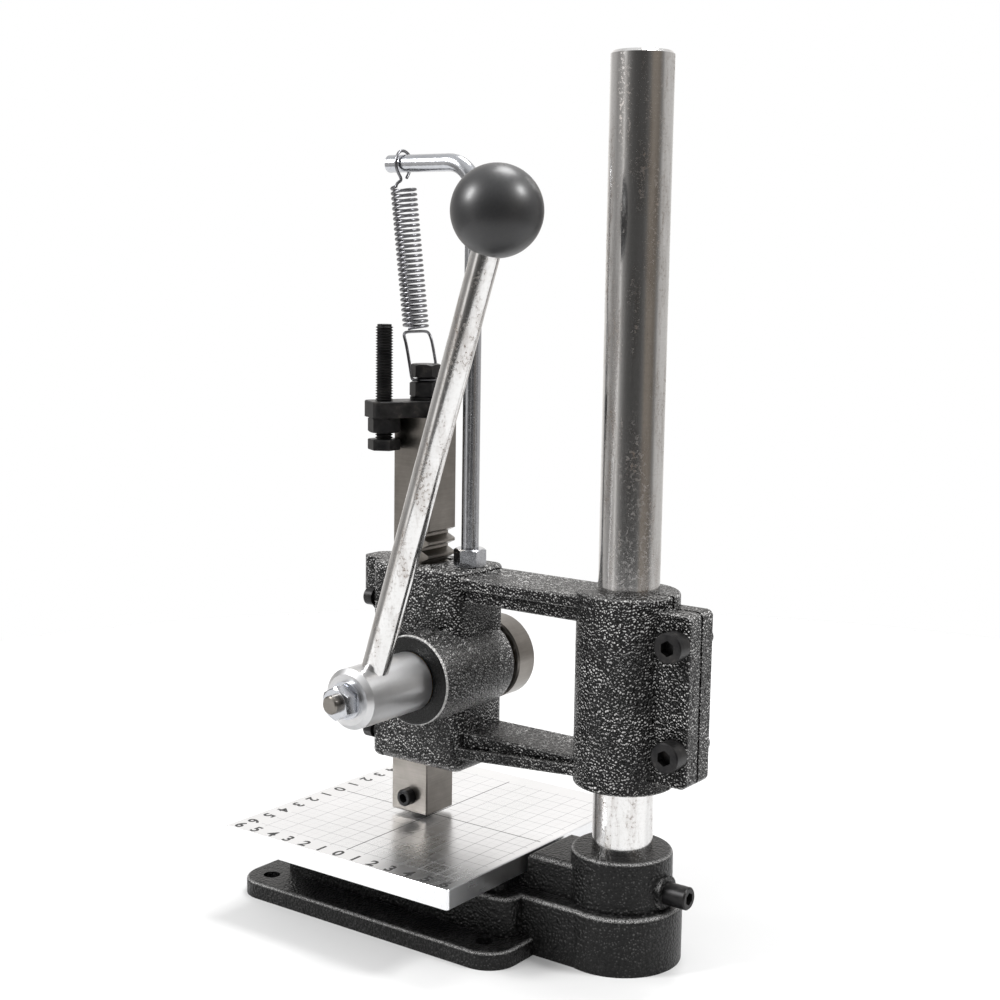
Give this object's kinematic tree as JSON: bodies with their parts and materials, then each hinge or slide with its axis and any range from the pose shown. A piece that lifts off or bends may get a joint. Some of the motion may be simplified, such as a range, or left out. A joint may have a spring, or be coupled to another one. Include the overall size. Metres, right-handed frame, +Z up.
{
  "type": "arbor press",
  "caption": "Bench-top hand press: a lever and pinion drive a square rack ram down over a ruled table plate, on a head clamped to a round column.",
  "frame": {"origin": "on the bench, at the base's flat underside, straight below the middle of the table plate", "axes": "+Z up; +Y from the ram back to the column; +X towards the side the lever is on"},
  "size_m": [0.164, 0.2198, 0.387],
  "materials": {
    "hammered_black": "black textured paint over cast iron, satin",
    "bright_chrome": "polished hard chrome",
    "ground_steel": "ground bare steel with fine cross-grain",
    "black_oxide": "black oxide on machined steel",
    "bright_zinc": "bright zinc plate",
    "turned_hub": "turned, fine lathe lines",
    "ruled_plate": "satin plate printed with a ruled grid and numbers",
    "bearing_bronze": "turned bronze",
    "black_knob": "glossy moulded phenolic"
  },
  "bodies": {
    "base": {"base_casting": "hammered_black", "column_lock_screw": "black_oxide", "table_plate": "ruled_plate", "plate_screws": "black_oxide"},
    "column": {"column": "bright_chrome"},
    "head": {"head_casting": "hammered_black", "front_cap": "hammered_black", "front_cap_screws": "black_oxide", "clamp_screws": "black_oxide", "pinion_bush_near": "bearing_bronze", "pinion_bush_far": "bearing_bronze", "spring_rod": "bright_zinc", "rod_nut": "bright_zinc", "return_spring": "bright_zinc"},
    "lever": {"pinion_shaft": "ground_steel", "collar": "ground_steel", "collar_screw": "black_oxide", "lever_hub": "turned_hub", "hub_washer": "bright_zinc", "hub_nut": "bright_zinc", "lever": "bright_chrome", "ball_knob": "black_knob"},
    "ram": {"ram": "ground_steel", "top_plate": "black_oxide", "ram_washer": "black_oxide", "ram_nut": "black_oxide", "ram_bolt": "black_oxide", "jam_nut": "black_oxide", "spring_yoke": "bright_zinc"},
    "tool_screw": {"tool_screw": "black_oxide"},
    "stop_bolt": {"stop_bolt": "black_oxide"}
  },
  "joints": [
    {"name": "column_swivel", "type": "hinge", "parent": "base", "child": "column", "pos_m": [0, 0.1053, 0], "axis": [0, 0, 1], "range_deg": [-180, 180]},
    {"name": "head_height", "type": "slide", "parent": "column", "child": "head", "axis": [0, 0, 1], "range_m": [0, 0.22]},
    {"name": "lever_turn", "type": "hinge", "parent": "head", "child": "lever", "pos_m": [0, 0.016, 0.116], "axis": [1, 0, 0], "range_deg": [-55, 8.1]},
    {"name": "ram_slide", "type": "slide", "parent": "head", "child": "ram", "axis": [0, 0, -1], "range_m": [-0.0135, 0.002], "stiffness_N_per_m": 250, "springref_m": -0.012, "deforming": ["return_spring"]},
    {"name": "tool_screw_slide", "type": "slide", "parent": "ram", "child": "tool_screw", "axis": [1, 0, 0], "range_m": [-0.0005, 0.005]},
    {"name": "stop_height", "type": "slide", "parent": "ram", "child": "stop_bolt", "axis": [0, 0, 1], "range_m": [-0.034, 0.0024]}
  ],
  "couplings": [
    {"joint": "ram_slide", "follows": "lever_turn", "m_per_rad": 0.014}
  ]
}
